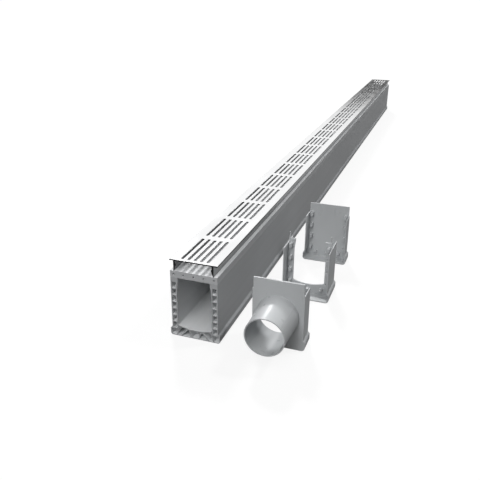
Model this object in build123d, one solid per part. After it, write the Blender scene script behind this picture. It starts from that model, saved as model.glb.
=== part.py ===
"""Channel drain: a 3 m twin-wall channel, its construction former and alloy grate,
and its end outlet, joiner and end cap standing beside it. Millimetres, +Z up, the channel along Y,
the origin at the centre of the channel's underside."""
from build123d import *
from math import atan2, degrees, hypot
import os

os.makedirs("parts", exist_ok=True)

# Channel: one extrusion
length = 3000.0
wall_width = 111.0
wall_top = 146.0
inner_width = 81.6
throat_width = 76.0
throat_depth = 9.0
throat_taper = 20.0
floor_side = 28.5
floor_centre = 21.5
floor_corner = 3.0
skin = 2.4

# Cells of the side walls
cell_count = 7
cell_web = 2.2
cell_corner = 1.5
head_depth = 11.25

# Plinth under the channel, with slanting webs given by where each starts and ends from the centre
plinth_width = 120.0
plinth_height = 17.5
shoulder_height = 4.5
plinth_corner = 6.0
ledge_corner = 2.0
plinth_web = 1.8
web_feet = (6.3, 35.0, 46.0)
web_heads = (15.0, 18.5, 38.5)

# Construction former
former_height = 16.5
former_corner = 0.8
core_count = 5
core_pitch = 23.7
core_diameter = 4.6

# Grate: a slotted plate on two barbed legs
grate_width = 112.0
grate_plate = 2.8
grate_edge = 0.5
leg_height = 24.3
leg_spacing = 89.2
leg_width = 4.8
leg_neck = 6.0
barb_reach = 2.0
barb_height = 3.5
barb_point = 8.5
foot_width = 1.6
slot_rows = 5
slot_groups = 22
slot_pitch = 15.0
slot_width = 7.0
slot_length = 118.0
slot_bevel = 2.0

# Fittings: shared sizes
skirt_clearance = 0.3
skirt_wall = 2.2
skirt_depth = 41.0
skirt_top = 131.5
end_plate_rise = 13.0
end_plate_overlap = 0.5
end_plate_corner = 1.0
plug_clearance = 0.5
plug_length = 12.0
plug_draft = 1.25
plug_bevel = 1.4
plug_bevel_share = 0.45
plug_step = 2
plinth_plug_width = 10.0
plinth_plug_height = 6.0
plinth_plug_level = 12.6
plinth_plug_spread = 33.4

# End cap, joiner and end outlet
cap_plate = 3.0
joiner_plate = 4.0
joiner_drop = 2.5
peg_diameter = 3.4
peg_inset = 2.4
peg_top = 160.0
outlet_plate = 4.0
spigot_level = 76.5
spigot_diameter = 87.4
spigot_straight = 30.0
spigot_root_diameter = 94.6
spigot_length = 95.0
spigot_wall = 2.5

# Where the fittings stand: centre from the channel's centre, front of the plate from its near end
outlet_place = (179.5, 36.3)
joiner_place = (183.2, 302.0)
cap_place = (181.4, 538.0)

wall_thickness = (wall_width - inner_width) / 2
cell_width = wall_thickness - 2 * skin
cell_centre = (wall_width - wall_thickness) / 2
cell_pitch = (wall_top - head_depth - plinth_height) / cell_count
cell_height = cell_pitch - cell_web
near_end = -length / 2
former_top = wall_top + former_height
standing_lift = skirt_clearance + skirt_wall


def lengthwise(profile, near, far):
    """Extrude a profile drawn in X and Z from y = near to y = far."""
    return extrude(Plane.XZ.offset(-far) * profile, amount=far - near)


def band(width, low, high):
    """A rectangle centred on X, from height low to height high."""
    return Pos(0, (low + high) / 2) * Rectangle(width, high - low)


def mirrored(right):
    """The corners of a symmetric outline, from those of its right half, listed upwards."""
    return right + [(-x, z) for x, z in reversed(right)]


def channel_outline():
    """Outside of the channel: walls on a wider plinth with rounded corners."""
    wall = wall_width / 2
    foot = plinth_width / 2
    shoulder = plinth_height + shoulder_height
    right = [(foot, 0), (foot, plinth_height), (wall, shoulder), (wall, wall_top)]
    face = make_face(Polyline(*mirrored(right), close=True))
    ledges = face.vertices().group_by(Axis.Y)[1]
    face = fillet(ledges, ledge_corner)
    feet = face.vertices().group_by(Axis.Y)[0]
    return fillet(feet, plinth_corner)


def flow_section():
    """The open inside of the channel: curved floor, straight walls and a narrower throat."""
    inner = inner_width / 2
    throat = throat_width / 2
    throat_low = wall_top - throat_depth
    right = [
        (inner, floor_side),
        (inner, throat_low - throat_taper),
        (throat, throat_low),
        (throat, wall_top),
    ]
    sides = Polyline(*mirrored(right))
    floor = ThreePointArc((-inner, floor_side), (0, floor_centre), (inner, floor_side))
    face = make_face([sides, floor])
    corners = face.vertices().group_by(Axis.Y)[0]
    return fillet(corners, floor_corner)


def cell_level(index):
    """Height of the centre of a wall cell, counted from the lowest."""
    return plinth_height + index * cell_pitch + cell_web + cell_height / 2


def wall_cells():
    """Both columns of hollow cells."""
    cell = RectangleRounded(cell_width, cell_height, cell_corner)
    places = [
        Pos(side * cell_centre, cell_level(index)) for side in (-1, 1) for index in range(cell_count)
    ]
    return Sketch() + [place * cell for place in places]


def slanting_web(foot, head):
    """One web of the plinth, from the bottom skin up past the floor's underside."""
    rise = floor_side
    run = (head - foot) * rise / (floor_centre - skin)
    middle = Pos(foot + run / 2, rise / 2)
    return middle * Rot(0, 0, degrees(atan2(rise, run))) * Rectangle(hypot(rise, run), plinth_web)


def plinth_cells():
    """Hollows of the plinth: what the skins and the slanting webs leave open."""
    inside = offset(channel_outline(), amount=-skin, kind=Kind.INTERSECTION)
    low = band(plinth_width, 0, plinth_height)
    under_floor = band(inner_width, 0, floor_side)
    hollow = inside & (low + under_floor)
    hollow -= offset(flow_section(), amount=skin, kind=Kind.INTERSECTION)
    for foot, head in zip(web_feet, web_heads):
        hollow -= slanting_web(foot, head)
        hollow -= slanting_web(-foot, -head)
    return hollow


def channel_base():
    """The channel, cut to its stock length."""
    section = channel_outline() - flow_section() - wall_cells() - plinth_cells()
    return lengthwise(section, near_end, near_end + length)


def construction_former():
    """A bar across the top of both walls, with a row of small round cores."""
    level = wall_top + former_height / 2
    section = Pos(0, level) * RectangleRounded(wall_width, former_height, former_corner)
    core = Pos(0, level) * Circle(core_diameter / 2)
    section -= GridLocations(core_pitch, 0, core_count, 1) * core
    return lengthwise(section, near_end, near_end + length)


def leg_profile():
    """Right leg of the grate: a straight neck, an inward barb, and a narrow foot."""
    top = former_top + leg_height
    outer = (leg_spacing + leg_width) / 2
    inner = outer - leg_width
    barb = top - leg_neck - barb_height
    points = [
        (outer, former_top),
        (outer, top),
        (inner, top),
        (inner, top - leg_neck),
        (inner - barb_reach, barb),
        (inner, barb - barb_point + barb_height),
        (outer - foot_width, former_top),
    ]
    return make_face(Polyline(*points, close=True))


def grate():
    """The alloy top: a plate with clip legs, punched with rows of slots."""
    top = former_top + leg_height
    plate = Pos(0, top + grate_plate / 2) * RectangleRounded(grate_width, grate_plate, grate_edge)
    leg = leg_profile()
    body = lengthwise(plate + leg + mirror(leg, Plane.YZ), near_end, near_end + length)
    group_pitch = length / slot_groups
    slot = chamfer(Rectangle(slot_width, slot_length).vertices(), slot_bevel)
    punch = extrude(Pos(0, 0, top) * slot, amount=grate_plate)
    return body - GridLocations(slot_pitch, group_pitch, slot_rows, slot_groups) * punch


def skirt_outline(growth):
    """The channel's outline, grown evenly and cut off at the top of the skirt."""
    grown = offset(channel_outline(), amount=growth, kind=Kind.INTERSECTION)
    return grown & band(2 * plinth_width, -plinth_height, skirt_top)


def skirt_section():
    """U-shaped band that wraps the outside of the channel's end."""
    return skirt_outline(skirt_clearance + skirt_wall) - skirt_outline(skirt_clearance)


def end_plate_section():
    """Plate that closes the channel: the skirt's outline, with a narrower head above it."""
    head_width = wall_width + 2 * end_plate_overlap
    head = band(head_width, plinth_height, wall_top + end_plate_rise)
    head = fillet(head.vertices().group_by(Axis.Y)[-1], end_plate_corner)
    return skirt_outline(skirt_clearance + skirt_wall) + head


def plug(width, height, across, level):
    """One plug towards -Y with bevelled corners, narrowing to its tip by the draft on each side."""
    tip = (plug_draft, plug_draft, width - plug_draft, height - plug_draft)
    body = Wedge(width, plug_length, height, *tip)
    corners = body.edges().group_by(Axis.Y)[1]
    bevel = min(plug_bevel, plug_bevel_share * (min(width, height) - 2 * plug_draft))
    return Pos(across, -plug_length / 2, level) * Rot(0, 0, 180) * chamfer(corners, bevel)


def plugs():
    """The plugs that enter every second wall cell and three cells of the plinth."""
    width = cell_width - 2 * plug_clearance
    height = cell_height - 2 * plug_clearance
    wall_plugs = [
        plug(width, height, side * cell_centre, cell_level(index))
        for side in (-1, 1)
        for index in range(0, cell_count, plug_step)
    ]
    plinth_plugs = [
        plug(plinth_plug_width, plinth_plug_height, across, plinth_plug_level)
        for across in (-plinth_plug_spread, 0, plinth_plug_spread)
    ]
    return wall_plugs + plinth_plugs


def end_fitting(thickness):
    """Plate with its skirt and plugs towards -Y, its inner face at y = 0."""
    plate = lengthwise(end_plate_section(), 0, thickness)
    return plate + lengthwise(skirt_section(), -skirt_depth, 0) + plugs()


def spigot():
    """Pipe of the outlet towards -Y: a straight end for the drain pipe, widening to its root."""
    straight = spigot_length - spigot_straight

    def tube(reduce):
        end = spigot_diameter / 2 - reduce
        root = spigot_root_diameter / 2 - reduce
        half = Polyline(
            (0, 0), (root, 0), (end, straight), (end, spigot_length), (0, spigot_length), close=True
        )
        return revolve(make_face(half), Axis.Y, 360)

    pipe = tube(0)
    bore = tube(spigot_wall)
    return Rot(0, 0, 180) * pipe, Rot(0, 0, 180) * bore


def end_outlet():
    """End fitting turned to face the channel, with the spigot on its outside."""
    fitting = Rot(0, 0, 180) * end_fitting(outlet_plate)
    fitting = Pos(0, outlet_plate, 0) * fitting
    pipe, bore = spigot()
    axis = Pos(0, 0, spigot_level)
    root_bore = Plane.XZ.offset(-outlet_plate) * Circle(spigot_root_diameter / 2 - spigot_wall)
    fitting = fitting + axis * pipe
    fitting = fitting - axis * bore - axis * extrude(root_bore, amount=outlet_plate)
    return fitting


def joiner():
    """U frame with skirts and plugs on both sides and an upright peg on each post."""
    frame_top = wall_top - joiner_drop
    posts = band(wall_width, plinth_height, frame_top)
    frame = skirt_outline(skirt_clearance + skirt_wall) + posts - flow_section()
    body = lengthwise(frame, 0, joiner_plate)
    body += lengthwise(skirt_section(), -skirt_depth, joiner_plate + skirt_depth)
    near_plugs = plugs()
    far_plugs = [Pos(0, joiner_plate, 0) * Rot(0, 0, 180) * item for item in near_plugs]
    peg = extrude(Circle(peg_diameter / 2), amount=peg_top - frame_top)
    across = wall_width / 2 - peg_inset
    pegs = [Pos(side * across, joiner_plate / 2, frame_top) * peg for side in (-1, 1)]
    return body + near_plugs + far_plugs + pegs


def stand(fitting, place):
    """Put a fitting beside the channel, on the level of its underside."""
    across, along = place
    return Pos(across, near_end + along, standing_lift) * fitting


pieces = {
    "channel_base": channel_base(),
    "construction_former": construction_former(),
    "grate": grate(),
    "end_outlet": stand(end_outlet(), outlet_place),
    "joiner": stand(joiner(), joiner_place),
    "end_cap": stand(end_fitting(cap_plate), cap_place),
}

for name, piece in pieces.items():
    export_step(piece, f"parts/{name}.step")
    size = piece.bounding_box().size
    print(f"{name}: {len(piece.solids())} solid, {size.X:.1f} x {size.Y:.1f} x {size.Z:.1f} mm")
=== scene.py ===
"""Looks of the channel drain: its pieces and their finishes, the floor, the lights and the camera.

Laid out as an add-on and run as a script. Lengths are in metres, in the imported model's frame: the
channel lies along Y, its near end at the lowest Y, and the loose fittings stand on its +X side.
The channel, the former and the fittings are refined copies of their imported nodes. The grate is
modelled anew inside the box of its node.
"""

from math import radians, sin

import bpy
from bpy.props import FloatProperty, FloatVectorProperty, IntProperty, PointerProperty
from mathutils import Matrix, Vector


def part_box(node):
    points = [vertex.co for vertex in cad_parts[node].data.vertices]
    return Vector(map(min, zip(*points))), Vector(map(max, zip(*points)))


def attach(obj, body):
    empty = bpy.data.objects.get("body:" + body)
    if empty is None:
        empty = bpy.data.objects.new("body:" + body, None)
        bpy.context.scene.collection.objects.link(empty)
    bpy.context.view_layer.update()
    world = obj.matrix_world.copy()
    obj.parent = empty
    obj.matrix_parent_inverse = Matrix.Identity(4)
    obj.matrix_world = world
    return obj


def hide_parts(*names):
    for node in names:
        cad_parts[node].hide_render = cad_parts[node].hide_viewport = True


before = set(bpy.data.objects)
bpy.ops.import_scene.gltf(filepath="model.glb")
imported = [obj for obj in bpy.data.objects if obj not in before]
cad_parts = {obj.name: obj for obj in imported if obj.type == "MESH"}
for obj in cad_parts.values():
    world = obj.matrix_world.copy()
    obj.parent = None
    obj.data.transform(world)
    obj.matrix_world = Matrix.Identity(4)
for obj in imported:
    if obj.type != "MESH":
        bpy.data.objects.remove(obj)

bl_info = {
    "name": "Channel drain",
    "version": (1, 0, 0),
    "blender": (4, 5, 0),
    "location": "3D View > Sidebar > Drain",
    "description": "Adds the pieces, finishes and stage of a channel drain",
    "category": "Add Mesh",
}

# Axes by number, for a place's part across the drain or along it
ACROSS = 0
ALONG = 1

# How near two places are when they count as one
MERGE_DISTANCE = 1e-6
NEAR = 1e-5

# Faces that meet at less than the first are one flat face, and at more than the second an edge
FLAT_ANGLE = radians(0.5)
SMOOTH_ANGLE = radians(32)

# How much of a face's normal lies along an axis when the face is taken to look that way
FACING = 0.75
ENDWAYS = 0.5
SQUARE_ON = 0.45
LEVEL = 0.99

# The channel's section: heights of plinth and walls, and how far from the middle the inside reaches
PLINTH_TOP = 0.0175
WALL_TOP = 0.146
PLINTH_INSIDE = 0.058
WALL_INSIDE = 0.0545
SKIN_INSIDE = 0.001

# Noise in the finishes: scale, detail, and the stretch along each axis
DIE_CLOUDS = (9.0, 3.0, (1.0, 0.35, 1.0))
DIE_STREAKS = (90.0, 4.0, (1.0, 0.006, 1.0))
DIE_LINES = (320.0, 3.0, (1.0, 0.003, 1.0))
MOULD_CLOUDS = (14.0, 3.0, (1.0, 1.0, 1.0))
MOULD_SKIN = (450.0, 2.0, (1.0, 1.0, 1.0))
MOULD_SMEARS = (40.0, 5.0, (1.0, 1.0, 0.4))
BRUSH_LINES = (900.0, 3.0, (1.0, 0.01, 1.0))
BRUSH_PATCHES = (30.0, 4.0, (1.0, 0.25, 1.0))

# The range in which most of a noise lies, for a number and for a colour that follow it
NOISE_LOW = 0.3
NOISE_HIGH = 0.7
TONE_LOW = 0.32
TONE_HIGH = 0.68

# Share by which each finish turns darker and lighter
DIE_TONE = 0.055
MOULD_TONE = 0.02
BRUSH_TONE = 0.015

# How far each finish's roughness goes down and up
DIE_SWAY = (-0.05, 0.05)
MOULD_SWAY = (-0.04, 0.06)
BRUSH_SWAY = (-0.03, 0.04)

# Strength of each finish's bumps, and the depth of them all
DIE_BUMP = 0.06
MOULD_BUMP = 0.03
BRUSH_BUMP = 0.08
BUMP_DEPTH = 0.0001

# How much light each plastic throws back as gloss
DIE_GLOSS = 0.04
MOULD_GLOSS = 0.4

# Sky and floor
WHITE = (1.0, 1.0, 1.0, 1.0)
FLOOR_ROUGHNESS = 0.9

# The camera's sensor in millimetres, and its tilt from straight down to level
SENSOR_WIDTH = 36.0
LEVEL_VIEW = radians(90)


class DrainShape(bpy.types.PropertyGroup):
    """Sizes of the modelled grate, and the rounding of every piece's edges."""

    plate: FloatProperty(
        name="Plate", description="Thickness of the grate's plate", default=0.0028, min=0.001,
        unit="LENGTH")
    slot_groups: IntProperty(
        name="Slot groups", description="Groups of slots along the grate", default=22, min=1)
    slot_rows: IntProperty(
        name="Slot rows", description="Slots side by side in each group", default=5, min=1)
    slot_pitch: FloatProperty(
        name="Slot pitch", description="From the middle of one slot to the next", default=0.015,
        min=0.001, unit="LENGTH")
    slot_width: FloatProperty(
        name="Slot width", description="Width of each slot", default=0.007, min=0.001, unit="LENGTH")
    slot_length: FloatProperty(
        name="Slot length", description="Length of each slot over its round ends", default=0.118,
        min=0.01, unit="LENGTH")
    slot_steps: IntProperty(
        name="Slot steps", description="Faces round each quarter of a slot's ends", default=5, min=1)
    leg_outside: FloatProperty(
        name="Leg outside", description="From the middle of the grate to the outside of a leg",
        default=0.047, min=0.01, unit="LENGTH")
    leg_width: FloatProperty(
        name="Leg width", description="Thickness of each clip leg", default=0.0048, min=0.001,
        unit="LENGTH")
    neck: FloatProperty(
        name="Neck", description="Straight part of a leg above its barb", default=0.006, min=0.001,
        unit="LENGTH")
    barb_height: FloatProperty(
        name="Barb height", description="Height over which a leg widens to its barb", default=0.0035,
        min=0.0005, unit="LENGTH")
    barb_reach: FloatProperty(
        name="Barb reach", description="How far the barb stands out inwards", default=0.002,
        min=0.0002, unit="LENGTH")
    barb_point: FloatProperty(
        name="Barb point", description="Height over which the barb narrows again", default=0.005,
        min=0.0005, unit="LENGTH")
    foot_width: FloatProperty(
        name="Foot width", description="Width of a leg where it stands", default=0.0016,
        min=0.0002, unit="LENGTH")
    cut_edge: FloatProperty(
        name="Cut edge", description="Rounding of the edges of the extruded lengths",
        default=0.00025, min=0.0, unit="LENGTH")
    moulded_edge: FloatProperty(
        name="Moulded edge", description="Rounding of the edges of the moulded fittings",
        default=0.00028, min=0.0, unit="LENGTH")
    edge_steps: IntProperty(
        name="Edge steps", description="Faces across each rounded edge", default=2, min=1, max=6)


class DrainFinish(bpy.types.PropertyGroup):
    """Colours and gloss of the plastic and the alloy, some of them painted light and painted shade."""

    channel_colour: FloatVectorProperty(
        name="Channel", description="Grey of the extruded channel", subtype="COLOR",
        default=(0.43, 0.44, 0.45), min=0.0, max=1.0)
    # Painted light: the inside and the cells are the same plastic as the skin, painted paler to stand
    # in for light
    painted_light_inside_colour: FloatVectorProperty(
        name="Channel inside", description="Paler grey of the channel's inside and of its cells",
        subtype="COLOR", default=(0.73, 0.743, 0.753), min=0.0, max=1.0)
    former_colour: FloatVectorProperty(
        name="Former", description="Grey of the construction former's sides and ends",
        subtype="COLOR", default=(0.50, 0.51, 0.52), min=0.0, max=1.0)
    # Painted light: the former's top is the same plastic as its sides, painted paler as if lit from
    # above
    painted_light_former_top_colour: FloatVectorProperty(
        name="Former top", description="Paler grey of the former's top", subtype="COLOR",
        default=(0.76, 0.773, 0.783), min=0.0, max=1.0)
    fitting_colour: FloatVectorProperty(
        name="Fittings", description="Grey of the moulded fittings", subtype="COLOR",
        default=(0.485, 0.50, 0.51), min=0.0, max=1.0)
    alloy_colour: FloatVectorProperty(
        name="Alloy top", description="Colour of the grate's brushed top", subtype="COLOR",
        default=(0.915, 0.92, 0.925), min=0.0, max=1.0)
    # Painted shade: the legs and underside are the same alloy as the top, painted dark as if in shade
    painted_shade_leg_colour: FloatVectorProperty(
        name="Alloy legs", description="Colour of the grate's dull legs and underside",
        subtype="COLOR", default=(0.27, 0.274, 0.278), min=0.0, max=1.0)
    # Painted shade: the slot walls are the same alloy as the top, painted darker as if in shade
    painted_shade_slot_colour: FloatVectorProperty(
        name="Alloy slots", description="Colour of the walls of the punched slots",
        subtype="COLOR", default=(0.48, 0.485, 0.49), min=0.0, max=1.0)
    # Painted shade and painted dark reflection: the rim and the faces across the plate are painted near
    # black
    painted_shade_cut_colour: FloatVectorProperty(
        name="Alloy cuts", description="Colour of the plate's rim and of the faces cut across it",
        subtype="COLOR", default=(0.015, 0.0155, 0.016), min=0.0, max=1.0)
    channel_roughness: FloatProperty(
        name="Channel roughness", description="Gloss of the extruded plastic, lower is glossier",
        default=0.55, min=0.0, max=1.0, subtype="FACTOR")
    fitting_roughness: FloatProperty(
        name="Fitting roughness", description="Gloss of the moulded plastic, lower is glossier",
        default=0.3, min=0.0, max=1.0, subtype="FACTOR")
    alloy_roughness: FloatProperty(
        name="Alloy roughness", description="Gloss of the brushed top, lower is glossier",
        default=0.10, min=0.0, max=1.0, subtype="FACTOR")
    mill_roughness: FloatProperty(
        name="Mill roughness", description="Gloss of the dull alloy, lower is glossier",
        default=0.5, min=0.0, max=1.0, subtype="FACTOR")


class DrainStage(bpy.types.PropertyGroup):
    """Camera, lights, sky and floor."""

    camera_place: FloatVectorProperty(
        name="Camera place", description="Where the camera stands", subtype="TRANSLATION",
        default=(0.4682, -2.4930, 0.7128), unit="LENGTH")
    camera_turn: FloatProperty(
        name="Turn", description="Turn of the camera to its left from looking along the channel",
        default=radians(20.05), subtype="ANGLE")
    camera_dip: FloatProperty(
        name="Dip", description="Downward tilt of the camera", default=radians(23.29), subtype="ANGLE")
    camera_roll: FloatProperty(
        name="Roll", description="Roll of the camera about its view", default=radians(0.25),
        subtype="ANGLE")
    lens: FloatProperty(
        name="Lens", description="Focal length in millimetres", default=42.99, min=1.0)
    key_direction: FloatVectorProperty(
        name="Key direction", description="The way the broad main light travels",
        subtype="DIRECTION", default=(-0.2, 1.0, -1.7))
    key_strength: FloatProperty(
        name="Key strength", description="Strength of the main light", default=1.15, min=0.0)
    key_spread: FloatProperty(
        name="Key spread", description="How wide the main light is", default=radians(60.0),
        subtype="ANGLE")
    fill_direction: FloatVectorProperty(
        name="Fill direction", description="The way the fill light from the right travels",
        subtype="DIRECTION", default=(-0.6, -0.4, -1.0))
    fill_strength: FloatProperty(
        name="Fill strength", description="Strength of the fill light", default=0.9, min=0.0)
    fill_spread: FloatProperty(
        name="Fill spread", description="How wide the fill light is", default=radians(8.0),
        subtype="ANGLE")
    back_direction: FloatVectorProperty(
        name="Back direction", description="The way the light from behind travels",
        subtype="DIRECTION", default=(0.5, -1.0, -1.0))
    back_strength: FloatProperty(
        name="Back strength", description="Strength of the light from behind", default=2.0, min=0.0)
    back_spread: FloatProperty(
        name="Back spread", description="How wide the light from behind is", default=radians(9.0),
        subtype="ANGLE")
    front_direction: FloatVectorProperty(
        name="Front direction", description="The way the low light in front travels",
        subtype="DIRECTION", default=(0.1, 1.0, -0.65))
    front_strength: FloatProperty(
        name="Front strength", description="Strength of the low light in front", default=1.05, min=0.0)
    front_spread: FloatProperty(
        name="Front spread", description="How wide the low light in front is", default=radians(20.0),
        subtype="ANGLE")
    sky_strength: FloatProperty(
        name="Sky strength", description="Even light from all round", default=0.08, min=0.0)
    horizon_low: FloatProperty(
        name="Horizon", description="Height up to which gloss shows the dull rim of the sky",
        default=radians(8.9), subtype="ANGLE")
    horizon_high: FloatProperty(
        name="Clear sky", description="Height above which gloss shows a white sky",
        default=radians(10.5), subtype="ANGLE")
    horizon_grey: FloatProperty(
        name="Horizon grey", description="Brightness of the sky's rim in gloss", default=0.05,
        min=0.0, max=1.0, subtype="FACTOR")
    floor_span: FloatProperty(
        name="Floor span", description="Side of the square floor", default=300.0, unit="LENGTH")
    floor_glow: FloatVectorProperty(
        name="Floor as a light", description="Colour of the floor as it lights the drain",
        subtype="COLOR", default=(0.09, 0.09, 0.09), min=0.0, max=1.0)
    floor_colour: FloatVectorProperty(
        name="Floor as seen", description="Colour of the floor where it is seen", subtype="COLOR",
        default=(0.95, 0.95, 0.95), min=0.0, max=1.0)
    floor_paleness: FloatProperty(
        name="Floor paleness", description="How far the floor is lifted towards white where it is seen",
        default=0.86, min=0.0, max=1.0, subtype="FACTOR")


# Selecting and finishing a piece


def select_only(piece):
    """Make one object the selected and active one."""
    bpy.ops.object.select_all(action="DESELECT")
    piece.select_set(True)
    bpy.context.view_layer.objects.active = piece


def pick(piece, kind, test):
    """Select the faces or edges that pass a test, nothing else, and stay in edit mode."""
    select_only(piece)
    bpy.ops.object.mode_set(mode="EDIT")
    bpy.ops.mesh.select_mode(type=kind)
    bpy.ops.mesh.select_all(action="DESELECT")
    bpy.ops.object.mode_set(mode="OBJECT")
    items = piece.data.polygons if kind == "FACE" else piece.data.edges
    found = [item for item in items if test(item)]
    if not found:
        raise RuntimeError(f"{piece.name}: nothing was found to select")
    for item in found:
        item.select = True
    bpy.ops.object.mode_set(mode="EDIT")


def near(first, second):
    """Whether two places along an axis are the same."""
    return abs(first - second) < NEAR


def merged_copy(node, name):
    """A joined-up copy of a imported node, its flat faces whole again, ready to be refined."""
    piece = bpy.data.objects.new(name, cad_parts[node].data.copy())
    bpy.context.scene.collection.objects.link(piece)
    select_only(piece)
    bpy.ops.mesh.customdata_custom_splitnormals_clear()
    bpy.ops.object.mode_set(mode="EDIT")
    bpy.ops.mesh.select_all(action="SELECT")
    bpy.ops.mesh.remove_doubles(threshold=MERGE_DISTANCE)
    bpy.ops.mesh.dissolve_limited(angle_limit=FLAT_ANGLE)
    bpy.ops.object.mode_set(mode="OBJECT")
    return piece


def round_edges(piece, width, steps):
    """Round every sharp edge by a modifier, and shade flats flat and rounds smooth."""
    select_only(piece)
    bpy.ops.object.modifier_add(type="BEVEL")
    bevel = piece.modifiers[-1]
    bevel.width = width
    bevel.segments = steps
    bevel.limit_method = "ANGLE"
    bevel.angle_limit = SMOOTH_ANGLE
    bevel.use_clamp_overlap = False
    bpy.ops.object.modifier_apply(modifier=bevel.name)
    bpy.ops.object.shade_smooth_by_angle(angle=SMOOTH_ANGLE)
    bpy.ops.object.modifier_add(type="WEIGHTED_NORMAL")
    weighted = piece.modifiers[-1]
    weighted.keep_sharp = True
    bpy.ops.object.modifier_apply(modifier=weighted.name)


def settle(piece, material, node):
    """Give a finished piece its main material and its body, and hide the node that it stands for."""
    piece.data.materials.clear()
    piece.data.materials.append(material)
    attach(piece, "root")
    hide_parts(node)


def refine(node, name, width, steps, material):
    """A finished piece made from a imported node, with its edges rounded."""
    piece = merged_copy(node, name)
    round_edges(piece, width, steps)
    settle(piece, material, node)
    return piece


def paint(piece, material, test):
    """Give the faces of a finished piece that pass a test a finish of their own."""
    piece.data.materials.append(material)
    pick(piece, "FACE", test)
    piece.active_material_index = len(piece.data.materials) - 1
    bpy.ops.object.material_slot_assign()
    bpy.ops.object.mode_set(mode="OBJECT")


# Materials


def new_tree(name):
    """A new material with its node tree and the Principled shader in it."""
    material = bpy.data.materials.new(name)
    material.use_nodes = True
    tree = material.node_tree
    return material, tree, tree.nodes["Principled BSDF"]


def stretched_noise(tree, pattern):
    """Noise on Object coordinates, from its scale, its detail and its stretch along each axis."""
    scale, detail, stretch = pattern
    place = tree.nodes.new("ShaderNodeTexCoord")
    mapping = tree.nodes.new("ShaderNodeMapping")
    mapping.inputs["Scale"].default_value = stretch
    noise = tree.nodes.new("ShaderNodeTexNoise")
    noise.inputs["Scale"].default_value = scale
    noise.inputs["Detail"].default_value = detail
    tree.links.new(place.outputs["Object"], mapping.inputs["Vector"])
    tree.links.new(mapping.outputs["Vector"], noise.inputs["Vector"])
    return noise.outputs["Fac"]


def ranged(tree, value, low, high, from_low=NOISE_LOW, from_high=NOISE_HIGH):
    """Map a value, such as a noise, onto the range from low to high."""
    spread = tree.nodes.new("ShaderNodeMapRange")
    spread.inputs["From Min"].default_value = from_low
    spread.inputs["From Max"].default_value = from_high
    spread.inputs["To Min"].default_value = low
    spread.inputs["To Max"].default_value = high
    tree.links.new(value, spread.inputs["Value"])
    return spread.outputs["Result"]


def toned(tree, value, colour, tone):
    """A colour that turns darker and lighter by a small share with a noise value."""
    ramp = tree.nodes.new("ShaderNodeValToRGB")
    dark, light = ramp.color_ramp.elements
    dark.position = TONE_LOW
    light.position = TONE_HIGH
    dark.color = [part * (1 - tone) for part in colour] + [1.0]
    light.color = [part * (1 + tone) for part in colour] + [1.0]
    tree.links.new(value, ramp.inputs["Fac"])
    return ramp.outputs["Color"]


def swayed(tree, value, roughness, sway):
    """A roughness that goes down and up with a noise value."""
    down, up = sway
    return ranged(tree, value, roughness + down, roughness + up)


def bump(tree, value, strength):
    """A bump normal from a noise value."""
    node = tree.nodes.new("ShaderNodeBump")
    node.inputs["Strength"].default_value = strength
    node.inputs["Distance"].default_value = BUMP_DEPTH
    tree.links.new(value, node.inputs["Height"])
    return node.outputs["Normal"]


def reckoned(tree, operation, *values):
    """What a Math node makes of its values, each a number or the output of another node."""
    node = tree.nodes.new("ShaderNodeMath")
    node.operation = operation
    for socket, value in zip(node.inputs, values):
        if isinstance(value, float):
            socket.default_value = value
        else:
            tree.links.new(value, socket)
    return node.outputs["Value"]


def average(tree, first, second):
    """The average of two values."""
    half = reckoned(tree, "MULTIPLY", second, 0.5)
    return reckoned(tree, "MULTIPLY_ADD", first, 0.5, half)


def dull_plastic(name, colour, roughness):
    """Dull grey plastic, faintly cloudy, with the lengthwise streaks of an extrusion die."""
    material, tree, shader = new_tree(name)
    clouds = stretched_noise(tree, DIE_CLOUDS)
    streaks = stretched_noise(tree, DIE_STREAKS)
    lines = stretched_noise(tree, DIE_LINES)
    grey = toned(tree, average(tree, clouds, streaks), colour, DIE_TONE)
    tree.links.new(grey, shader.inputs["Base Color"])
    tree.links.new(swayed(tree, lines, roughness, DIE_SWAY), shader.inputs["Roughness"])
    tree.links.new(bump(tree, lines, DIE_BUMP), shader.inputs["Normal"])
    shader.inputs["Specular IOR Level"].default_value = DIE_GLOSS
    return material


def moulded_plastic(name, colour, roughness):
    """Grey plastic with the soft gloss and the fine even texture of a moulding."""
    material, tree, shader = new_tree(name)
    clouds = stretched_noise(tree, MOULD_CLOUDS)
    skin = stretched_noise(tree, MOULD_SKIN)
    smears = stretched_noise(tree, MOULD_SMEARS)
    tree.links.new(toned(tree, clouds, colour, MOULD_TONE), shader.inputs["Base Color"])
    tree.links.new(swayed(tree, smears, roughness, MOULD_SWAY), shader.inputs["Roughness"])
    tree.links.new(bump(tree, skin, MOULD_BUMP), shader.inputs["Normal"])
    shader.inputs["Specular IOR Level"].default_value = MOULD_GLOSS
    return material


def alloy(name, colour, roughness):
    """Bare aluminium alloy with fine brush lines along the drain."""
    material, tree, shader = new_tree(name)
    lines = stretched_noise(tree, BRUSH_LINES)
    patches = stretched_noise(tree, BRUSH_PATCHES)
    tree.links.new(toned(tree, patches, colour, BRUSH_TONE), shader.inputs["Base Color"])
    tree.links.new(swayed(tree, patches, roughness, BRUSH_SWAY), shader.inputs["Roughness"])
    tree.links.new(bump(tree, lines, BRUSH_BUMP), shader.inputs["Normal"])
    shader.inputs["Metallic"].default_value = 1.0
    return material


# The channel and its former


def inside_channel(face):
    """Whether a face lies inside the channel or one of its cells, and not on its skin or its ends."""
    centre = face.center
    reach = PLINTH_INSIDE if centre.z < PLINTH_TOP else WALL_INSIDE
    on_end = abs(face.normal.y) > ENDWAYS
    within = abs(centre.x) < reach and SKIN_INSIDE < centre.z < WALL_TOP - SKIN_INSIDE
    return within and not on_end


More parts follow.
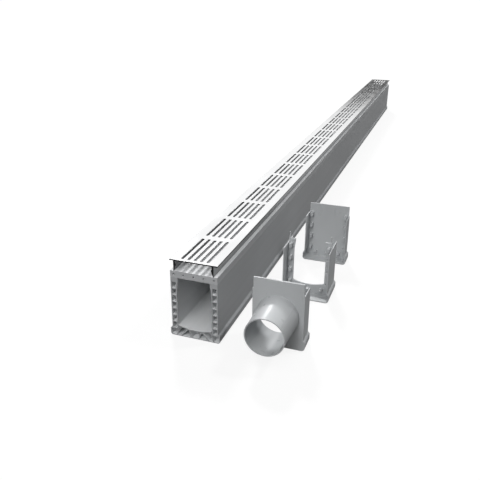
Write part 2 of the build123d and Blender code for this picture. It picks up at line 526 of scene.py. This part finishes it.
class DRAIN_OT_add_channel(bpy.types.Operator):
    """Add the twin-wall channel, its cut edges eased and painted light on its inside, which is paler
    than its skin
    """

    bl_idname = "drain.add_channel"
    bl_label = "Add channel"

    def execute(self, context):
        shape = context.scene.drain_shape
        finish = context.scene.drain_finish
        grey = dull_plastic("channel_grey", finish.channel_colour, finish.channel_roughness)
        channel = refine(
            "channel_base", "channel_length", shape.cut_edge, shape.edge_steps, grey)
        # Painted light: the inside and the cells take a paler grey that stands in for light, not a
        # colour of the plastic
        pale = dull_plastic("channel_inside_painted_light", finish.painted_light_inside_colour, finish.channel_roughness)
        paint(channel, pale, inside_channel)
        return {"FINISHED"}


class DRAIN_OT_add_former(bpy.types.Operator):
    """Add the construction former, the bar that closes the channel's top"""

    bl_idname = "drain.add_former"
    bl_label = "Add former"

    def execute(self, context):
        shape = context.scene.drain_shape
        finish = context.scene.drain_finish
        grey = dull_plastic("former_grey", finish.former_colour, finish.channel_roughness)
        former = refine(
            "construction_former", "former_length", shape.cut_edge, shape.edge_steps, grey)
        # Painted light: the top faces take a paler grey that stands in for the light falling on them
        pale = dull_plastic("former_top_painted_light", finish.painted_light_former_top_colour, finish.channel_roughness)
        paint(former, pale, lambda face: face.normal.z > FACING)
        return {"FINISHED"}


# The grate


def cut_across(places, axis):
    """Cut the selected mesh by planes at places along an axis."""
    for place in places:
        bpy.ops.mesh.select_all(action="SELECT")
        middle = Vector((0.0, 0.0, 0.0))
        normal = Vector((0.0, 0.0, 0.0))
        middle[axis] = place
        normal[axis] = 1.0
        bpy.ops.mesh.bisect(plane_co=middle, plane_no=normal, threshold=MERGE_DISTANCE)


def slot_middles(shape):
    """Where the rows of slots lie across the grate."""
    return [(row - (shape.slot_rows - 1) / 2) * shape.slot_pitch for row in range(shape.slot_rows)]


def from_slot_middle(place, middle, shape):
    """How far a place lies across and along from the middle of the nearest slot of a bay."""
    return min(abs(place.x - row) for row in slot_middles(shape)), abs(place.y - middle)


def in_slot(place, middle, shape):
    """Whether a place lies within a slot of the bay whose middle is given."""
    across, along = from_slot_middle(place, middle, shape)
    return across < shape.slot_width / 2 and along < shape.slot_length / 2


def on_slot_corner(first, second, middle, shape):
    """Whether the edge between two places is upright and stands in the corner of a slot."""
    upright = near(first.x, second.x) and near(first.y, second.y)
    across, along = from_slot_middle(first, middle, shape)
    return upright and near(across, shape.slot_width / 2) and near(along, shape.slot_length / 2)


def draw_legs(bay, shape, underside):
    """Draw both clip legs down from the underside: neck, barb, point and foot."""
    inside = shape.leg_outside - shape.leg_width
    level = underside
    lean = 0.0
    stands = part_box("grate")[0].z
    foot_drop = underside - shape.neck - shape.barb_height - shape.barb_point - stands
    steps = (
        (shape.neck, 0.0),
        (shape.barb_height, shape.barb_reach),
        (shape.barb_point, 0.0),
        (foot_drop, shape.foot_width - shape.leg_width),
    )
    for drop, reach in steps:
        edge = inside - lean

        def end_face(face):
            return near(face.center.z, level) and edge < abs(face.center.x) < shape.leg_outside

        pick(bay, "FACE", end_face)
        bpy.ops.mesh.extrude_region_move(TRANSFORM_OT_translate={"value": (0.0, 0.0, -drop)})
        bpy.ops.object.mode_set(mode="OBJECT")
        level -= drop
        for side in (-1, 1):

            def inner_edge(line):
                first, second = (bay.data.vertices[index].co for index in line.vertices)
                ends = near(first.x, side * edge) and near(second.x, side * edge)
                return ends and near(first.z, level) and near(second.z, level)

            if not near(reach, lean):
                pick(bay, "EDGE", inner_edge)
                bpy.ops.transform.translate(value=(side * (lean - reach), 0.0, 0.0))
                bpy.ops.object.mode_set(mode="OBJECT")
        lean = reach


def model_bay(shape):
    """One bay of the grate, with its slots, its legs and both ends open, ready to be repeated."""
    low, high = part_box("grate")
    bay_length = (high.y - low.y) / shape.slot_groups
    middle = low.y + bay_length / 2
    bpy.ops.object.select_all(action="DESELECT")
    bpy.ops.mesh.primitive_plane_add(size=1.0, location=(0.0, middle, high.z))
    bay = bpy.context.active_object
    bay.name = "grate_length"
    bay.scale = (high.x - low.x, bay_length, 1.0)
    bpy.ops.object.transform_apply(location=True, rotation=True, scale=True)

    bpy.ops.object.mode_set(mode="EDIT")
    half_slot = shape.slot_width / 2
    slot_sides = [row + side * half_slot for row in slot_middles(shape) for side in (-1, 1)]
    leg_edges = (shape.leg_outside, shape.leg_outside - shape.leg_width)
    leg_sides = [side * edge for side in (-1, 1) for edge in leg_edges]
    cut_across(sorted(slot_sides + leg_sides), ACROSS)
    cut_across([middle - shape.slot_length / 2, middle + shape.slot_length / 2], ALONG)
    bpy.ops.object.mode_set(mode="OBJECT")
    pick(bay, "FACE", lambda face: in_slot(face.center, middle, shape))
    bpy.ops.mesh.delete(type="FACE")
    bpy.ops.mesh.select_all(action="SELECT")
    bpy.ops.mesh.extrude_region_move(TRANSFORM_OT_translate={"value": (0.0, 0.0, -shape.plate)})
    bpy.ops.object.mode_set(mode="OBJECT")
    draw_legs(bay, shape, high.z - shape.plate)

    def open_end(face):
        return near(abs(face.center.y - middle), bay_length / 2)

    pick(bay, "FACE", open_end)
    bpy.ops.mesh.delete(type="FACE")
    bpy.ops.object.mode_set(mode="OBJECT")

    def slot_corner(line):
        first, second = (bay.data.vertices[index].co for index in line.vertices)
        return on_slot_corner(first, second, middle, shape)

    # A hair less than half the slot's width, so that its two corners stay apart
    pick(bay, "EDGE", slot_corner)
    bpy.ops.mesh.bevel(offset=half_slot - NEAR, segments=shape.slot_steps, affect="EDGES")
    bpy.ops.object.mode_set(mode="OBJECT")
    return bay, bay_length


def repeat_bay(bay, count, pitch):
    """Repeat the open bay along the grate, join the bays and close both ends."""
    low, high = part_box("grate")
    select_only(bay)
    bpy.ops.object.modifier_add(type="ARRAY")
    row = bay.modifiers[-1]
    row.count = count
    row.use_relative_offset = False
    row.use_constant_offset = True
    row.constant_offset_displace = (0.0, pitch, 0.0)
    row.use_merge_vertices = True
    row.merge_threshold = NEAR
    bpy.ops.object.modifier_apply(modifier=row.name)
    for end in (low.y, high.y):

        def rim(line):
            return all(near(bay.data.vertices[index].co.y, end) for index in line.vertices)

        # Small errors add up along the bays, so the rim is first made flat at the end's place
        pick(bay, "EDGE", rim)
        bpy.ops.transform.resize(value=(1.0, 0.0, 1.0), center_override=(0.0, end, 0.0))
        bpy.ops.mesh.edge_face_add()
        bpy.ops.object.mode_set(mode="OBJECT")
    bpy.ops.object.mode_set(mode="EDIT")
    bpy.ops.mesh.select_all(action="SELECT")
    bpy.ops.mesh.normals_make_consistent(inside=False)
    bpy.ops.object.mode_set(mode="OBJECT")


class DRAIN_OT_add_grate(bpy.types.Operator):
    """Add the alloy grate: one bay of round-ended slots on its clip legs, repeated along the drain"""

    bl_idname = "drain.add_grate"
    bl_label = "Add grate"

    def execute(self, context):
        shape = context.scene.drain_shape
        finish = context.scene.drain_finish
        grate, pitch = model_bay(shape)
        repeat_bay(grate, shape.slot_groups, pitch)
        round_edges(grate, shape.cut_edge, shape.edge_steps)
        # Painted shade: the legs and underside take a dark grey of the same alloy, standing in for
        # shade under the plate
        dull = alloy("leg_alloy_painted_shade", finish.painted_shade_leg_colour, finish.mill_roughness)
        settle(grate, dull, "grate")
        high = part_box("grate")[1]
        rim = high.x - shape.cut_edge - NEAR
        underside = high.z - shape.plate

        def on_top(face):
            return face.normal.z > LEVEL

        def on_slot(face):
            return face.center.z > underside + NEAR and not on_top(face)

        def on_cut(face):
            on_rim = abs(face.center.x) > rim and not on_top(face)
            return on_rim or abs(face.normal.y) > SQUARE_ON

        paint(grate, alloy("top_alloy", finish.alloy_colour, finish.alloy_roughness), on_top)
        # Painted shade: the slot walls take a darker grey of the same alloy, standing in for shade
        # inside the slots
        paint(grate, alloy("slot_alloy_painted_shade", finish.painted_shade_slot_colour, finish.mill_roughness), on_slot)
        # Painted shade and painted dark reflection: the rim and the faces that look along the drain
        # take a near black
        paint(grate, alloy("cut_alloy_painted_shade", finish.painted_shade_cut_colour, finish.mill_roughness), on_cut)
        return {"FINISHED"}


# The fittings


class DRAIN_OT_add_fittings(bpy.types.Operator):
    """Add the end outlet, the joiner and the end cap, with eased moulded edges"""

    bl_idname = "drain.add_fittings"
    bl_label = "Add fittings"

    def execute(self, context):
        shape = context.scene.drain_shape
        finish = context.scene.drain_finish
        grey = moulded_plastic("fitting_grey", finish.fitting_colour, finish.fitting_roughness)
        dull = dull_plastic("fitting_side_grey", finish.fitting_colour, finish.channel_roughness)
        names = {
            "end_outlet": "outlet_moulding",
            "joiner": "joiner_moulding",
            "end_cap": "cap_moulding",
        }
        for node, name in names.items():
            fitting = refine(
                node, name, shape.moulded_edge, shape.edge_steps, grey)
            paint(fitting, dull, lambda face: abs(face.normal.x) > FACING)
        return {"FINISHED"}


# The floor, the sky, the lights and the camera


def seen_rays(tree):
    """One where a ray comes from the camera, a gloss or a see-through surface, else nought."""
    path = tree.nodes.new("ShaderNodeLightPath")
    seen = path.outputs["Is Camera Ray"]
    for ray in ("Is Glossy Ray", "Is Transmission Ray"):
        seen = reckoned(tree, "MAXIMUM", seen, path.outputs[ray])
    return seen


def sky_white(tree, stage):
    """How white the sky is: wholly to the camera, and in gloss grey at its rim and white above."""
    place = tree.nodes.new("ShaderNodeTexCoord")
    parts = tree.nodes.new("ShaderNodeSeparateXYZ")
    tree.links.new(place.outputs["Generated"], parts.inputs["Vector"])
    low, high = sin(stage.horizon_low), sin(stage.horizon_high)
    share = ranged(tree, parts.outputs["Z"], stage.horizon_grey, 1.0, low, high)
    path = tree.nodes.new("ShaderNodeLightPath")
    return reckoned(tree, "MAXIMUM", path.outputs["Is Camera Ray"], share)


def white_world(stage):
    """A sky that is white where it is seen and lights the drain evenly."""
    world = bpy.data.worlds.new("pale_sky")
    bpy.context.scene.world = world
    world.use_nodes = True
    tree = world.node_tree
    lighting = tree.nodes["Background"]
    lighting.inputs["Color"].default_value = WHITE
    lighting.inputs["Strength"].default_value = stage.sky_strength
    seen = tree.nodes.new("ShaderNodeBackground")
    seen.inputs["Color"].default_value = WHITE
    tree.links.new(sky_white(tree, stage), seen.inputs["Strength"])
    mix = tree.nodes.new("ShaderNodeMixShader")
    tree.links.new(seen_rays(tree), mix.inputs["Fac"])
    tree.links.new(lighting.outputs["Background"], mix.inputs[1])
    tree.links.new(seen.outputs["Background"], mix.inputs[2])
    tree.links.new(mix.outputs["Shader"], tree.nodes["World Output"].inputs["Surface"])


def floor_material(stage):
    """A pale floor that is lifted towards white where it is seen, and keeps its shadows."""
    material, tree, shader = new_tree("pale_floor")
    shader.inputs["Roughness"].default_value = FLOOR_ROUGHNESS
    shader.inputs["Specular IOR Level"].default_value = 0.0
    seen = seen_rays(tree)
    colour = tree.nodes.new("ShaderNodeMixRGB")
    colour.inputs["Color1"].default_value = (*stage.floor_glow, 1.0)
    colour.inputs["Color2"].default_value = (*stage.floor_colour, 1.0)
    tree.links.new(seen, colour.inputs["Fac"])
    tree.links.new(colour.outputs["Color"], shader.inputs["Base Color"])
    white = tree.nodes.new("ShaderNodeEmission")
    white.inputs["Strength"].default_value = 1.0
    mix = tree.nodes.new("ShaderNodeMixShader")
    tree.links.new(reckoned(tree, "MULTIPLY", seen, stage.floor_paleness), mix.inputs["Fac"])
    tree.links.new(shader.outputs["BSDF"], mix.inputs[1])
    tree.links.new(white.outputs["Emission"], mix.inputs[2])
    tree.links.new(mix.outputs["Shader"], tree.nodes["Material Output"].inputs["Surface"])
    return material


def add_sun(name, direction, strength, spread, in_gloss=True):
    """A light from far away that travels in one direction, and may be left out of reflections."""
    bpy.ops.object.select_all(action="DESELECT")
    bpy.ops.object.light_add(type="SUN")
    sun = bpy.context.active_object
    sun.name = name
    sun.data.energy = strength
    sun.data.angle = spread
    sun.visible_glossy = in_gloss
    sun.rotation_euler = Vector(direction).to_track_quat("-Z", "Y").to_euler()


class DRAIN_OT_set_stage(bpy.types.Operator):
    """Add the floor, the sky, the four lights and the camera"""

    bl_idname = "drain.set_stage"
    bl_label = "Set stage"

    def execute(self, context):
        stage = context.scene.drain_stage
        bpy.ops.object.select_all(action="DESELECT")
        bpy.ops.mesh.primitive_plane_add(size=stage.floor_span)
        floor = context.active_object
        floor.name = "floor"
        floor.data.materials.append(floor_material(stage))
        white_world(stage)

        # The main light is so broad that the polished top would mirror it as a white sheet
        add_sun("key_light", stage.key_direction, stage.key_strength, stage.key_spread, in_gloss=False)
        add_sun("fill_light", stage.fill_direction, stage.fill_strength, stage.fill_spread)
        add_sun("back_light", stage.back_direction, stage.back_strength, stage.back_spread)
        add_sun("front_light", stage.front_direction, stage.front_strength, stage.front_spread)

        bpy.ops.object.camera_add(location=stage.camera_place)
        camera = context.active_object
        camera.name = "photo_camera"
        turn = Matrix.Rotation(stage.camera_turn, 4, "Z")
        dip = Matrix.Rotation(LEVEL_VIEW - stage.camera_dip, 4, "X")
        roll = Matrix.Rotation(stage.camera_roll, 4, "Z")
        camera.rotation_euler = (turn @ dip @ roll).to_euler()
        camera.data.lens = stage.lens
        camera.data.sensor_width = SENSOR_WIDTH
        camera.data.clip_end = 2 * stage.floor_span
        context.scene.camera = camera
        context.scene.view_settings.view_transform = "Standard"
        return {"FINISHED"}


# The sidebar panel and the run


class DRAIN_PT_panel(bpy.types.Panel):
    """Sidebar panel that lists the settings and the pieces"""

    bl_idname = "DRAIN_PT_panel"
    bl_label = "Channel drain"
    bl_space_type = "VIEW_3D"
    bl_region_type = "UI"
    bl_category = "Drain"

    def draw(self, context):
        for name in SETTINGS:
            settings = getattr(context.scene, name)
            box = self.layout.box()
            for setting in settings.__annotations__:
                box.prop(settings, setting)
        for operator in OPERATORS:
            self.layout.operator(operator.bl_idname)


SETTINGS = {"drain_shape": DrainShape, "drain_finish": DrainFinish, "drain_stage": DrainStage}
OPERATORS = (
    DRAIN_OT_add_channel,
    DRAIN_OT_add_former,
    DRAIN_OT_add_grate,
    DRAIN_OT_add_fittings,
    DRAIN_OT_set_stage,
)


def register():
    """Register the settings, the operators and the panel."""
    for name, settings in SETTINGS.items():
        bpy.utils.register_class(settings)
        setattr(bpy.types.Scene, name, PointerProperty(type=settings))
    for operator in OPERATORS:
        bpy.utils.register_class(operator)
    bpy.utils.register_class(DRAIN_PT_panel)


def unregister():
    """Take out all that register puts in, the last first."""
    bpy.utils.unregister_class(DRAIN_PT_panel)
    for operator in reversed(OPERATORS):
        bpy.utils.unregister_class(operator)
    for name, settings in reversed(SETTINGS.items()):
        delattr(bpy.types.Scene, name)
        bpy.utils.unregister_class(settings)


def main():
    """Add every piece and the stage."""
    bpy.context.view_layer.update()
    register()
    bpy.ops.drain.add_channel()
    bpy.ops.drain.add_former()
    bpy.ops.drain.add_grate()
    bpy.ops.drain.add_fittings()
    bpy.ops.drain.set_stage()


if __name__ == "__main__":
    main()
